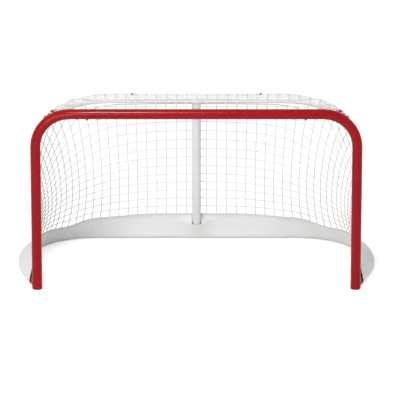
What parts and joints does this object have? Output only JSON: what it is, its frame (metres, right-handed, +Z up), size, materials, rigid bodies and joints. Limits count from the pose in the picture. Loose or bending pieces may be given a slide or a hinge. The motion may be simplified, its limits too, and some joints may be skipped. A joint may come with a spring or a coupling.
{
  "type": "hockey goal net",
  "caption": "Small hockey goal: bent red steel front frame, white rear tube frame, white cord net and vinyl skirt, joined with snap buttons.",
  "frame": {"origin": "on the floor, under the middle of the goal's bounding box", "axes": "+Z up, +X along the crossbar, the mouth faces -Y"},
  "size_m": [1.007, 0.4753, 0.5232],
  "materials": {
    "red_paint": "gloss",
    "white_paint": "gloss",
    "white_plastic": "matte",
    "red_plastic": "matte",
    "zinc_steel": "satin",
    "black_steel": "satin",
    "spring_steel": "satin",
    "edge_rope": "matte",
    "net_cord": "matte",
    "skirt_vinyl": "satin"
  },
  "bodies": {
    "frame": {"base_rear_bar": "white_paint", "centre_post": "white_paint", "crossbar": "red_paint", "left_base_arm": "white_paint", "left_base_bar_spring": "spring_steel", "left_base_screw": "zinc_steel", "left_corner_post": "red_paint", "left_crossbar_spring": "spring_steel", "left_edge_rope": "edge_rope", "left_foot_cap": "red_plastic", "left_front_corner_net": "net_cord", "left_rear_corner_net": "net_cord", "left_side_net": "net_cord", "left_skirt": "skirt_vinyl", "left_top_arm": "white_paint", "left_top_bar_spring": "spring_steel", "left_top_screw": "zinc_steel", "lower_tee": "white_plastic", "lower_tee_set_screw": "zinc_steel", "rear_net": "net_cord", "rear_skirt": "skirt_vinyl", "right_base_arm": "white_paint", "right_base_bar_spring": "spring_steel", "right_base_screw": "zinc_steel", "right_corner_post": "red_paint", "right_crossbar_spring": "spring_steel", "right_edge_rope": "edge_rope", "right_foot_cap": "red_plastic", "right_front_corner_net": "net_cord", "right_rear_corner_net": "net_cord", "right_side_net": "net_cord", "right_skirt": "skirt_vinyl", "right_top_arm": "white_paint", "right_top_bar_spring": "spring_steel", "right_top_screw": "zinc_steel", "top_edge_rope": "edge_rope", "top_net": "net_cord", "top_rear_bar": "white_paint", "upper_tee": "white_plastic", "upper_tee_set_screw": "zinc_steel"},
    "left_base_bar_button": {"left_base_bar_button": "black_steel"},
    "left_crossbar_button": {"left_crossbar_button": "black_steel"},
    "left_top_bar_button": {"left_top_bar_button": "black_steel"},
    "right_base_bar_button": {"right_base_bar_button": "black_steel"},
    "right_crossbar_button": {"right_crossbar_button": "black_steel"},
    "right_top_bar_button": {"right_top_bar_button": "black_steel"}
  },
  "joints": [
    {"name": "left_base_bar_press", "type": "slide", "parent": "frame", "child": "left_base_bar_button", "axis": [0, 0, -1], "range_m": [0, 0.005], "stiffness_N_per_m": 2000, "springref_m": -0.002, "deforming": ["left_base_bar_spring"]},
    {"name": "left_crossbar_press", "type": "slide", "parent": "frame", "child": "left_crossbar_button", "axis": [0, 0, 1], "range_m": [0, 0.005], "stiffness_N_per_m": 2000, "springref_m": -0.002, "deforming": ["left_crossbar_spring"]},
    {"name": "left_top_bar_press", "type": "slide", "parent": "frame", "child": "left_top_bar_button", "axis": [0, 0, -1], "range_m": [0, 0.005], "stiffness_N_per_m": 2000, "springref_m": -0.002, "deforming": ["left_top_bar_spring"]},
    {"name": "right_base_bar_press", "type": "slide", "parent": "frame", "child": "right_base_bar_button", "axis": [0, 0, -1], "range_m": [0, 0.005], "stiffness_N_per_m": 2000, "springref_m": -0.002, "deforming": ["right_base_bar_spring"]},
    {"name": "right_crossbar_press", "type": "slide", "parent": "frame", "child": "right_crossbar_button", "axis": [0, 0, 1], "range_m": [0, 0.005], "stiffness_N_per_m": 2000, "springref_m": -0.002, "deforming": ["right_crossbar_spring"]},
    {"name": "right_top_bar_press", "type": "slide", "parent": "frame", "child": "right_top_bar_button", "axis": [0, 0, -1], "range_m": [0, 0.005], "stiffness_N_per_m": 2000, "springref_m": -0.002, "deforming": ["right_top_bar_spring"]}
  ]
}
